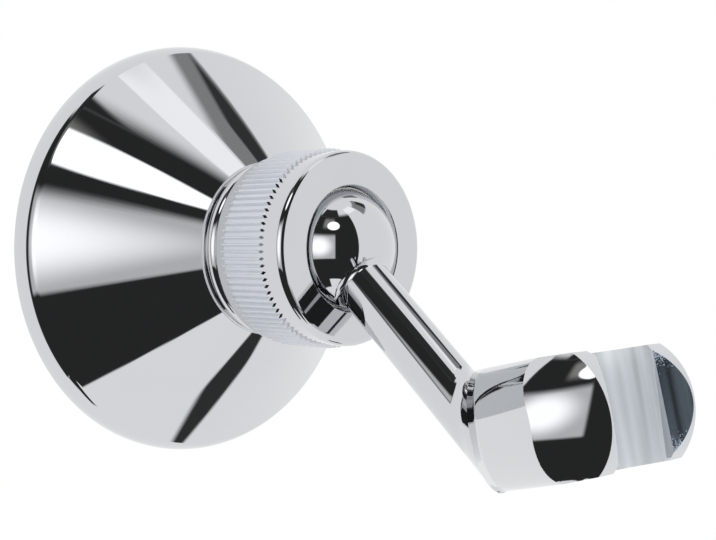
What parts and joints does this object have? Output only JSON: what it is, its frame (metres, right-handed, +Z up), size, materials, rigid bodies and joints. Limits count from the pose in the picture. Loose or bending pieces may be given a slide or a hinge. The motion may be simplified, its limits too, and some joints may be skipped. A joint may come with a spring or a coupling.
{
  "type": "hand shower holder",
  "caption": "Chromed wall holder for a hand shower: bell rosette, knurled clamping nut, ball joint and a slanted rod that ends in an open cradle.",
  "frame": {"origin": "centre of the face on the wall, on the axis of the rosette", "axes": "+Z up, -Y straight out of the wall, +X to the right of someone facing the wall"},
  "size_m": [0.1, 0.1651, 0.1],
  "materials": {
    "polished_chrome": "polished chrome plating",
    "nut_chrome": "chrome plating over a fine knurl",
    "cast_chrome": "polished chrome outside, dull plating inside the cradle",
    "plated_steel": "zinc plated",
    "spring_steel": "bare spring steel",
    "turned_brass": "turned",
    "seat_plastic": "moulded, matt"
  },
  "bodies": {
    "base": {"mounting_plate": "plated_steel", "wall_screws": "plated_steel", "socket_body": "turned_brass", "socket_screw": "plated_steel", "seat_spring": "spring_steel", "wall_rosette": "polished_chrome", "rosette_ring": "polished_chrome"},
    "nut": {"knurled_nut": "nut_chrome", "front_seat": "seat_plastic"},
    "seat": {"rear_seat": "seat_plastic"},
    "ball": {"ball": "polished_chrome"},
    "arm": {"arm": "cast_chrome"}
  },
  "joints": [
    {"name": "nut_turn", "type": "hinge", "parent": "base", "child": "nut", "pos_m": [0, -0.0504, 0], "axis": [0, -1, 0], "range_deg": [0, 180]},
    {"name": "swivel", "type": "hinge", "parent": "base", "child": "seat", "pos_m": [0, -0.0504, 0], "axis": [0, -1, 0], "range_deg": [-180, 180]},
    {"name": "tilt", "type": "hinge", "parent": "seat", "child": "ball", "pos_m": [0, -0.0504, 0], "axis": [-1, 0, 0], "range_deg": [-1, 81]},
    {"name": "spin", "type": "hinge", "parent": "ball", "child": "arm", "pos_m": [0, -0.0504, 0], "axis": [0, -0.766, -0.6428], "range_deg": [-180, 180]}
  ]
}
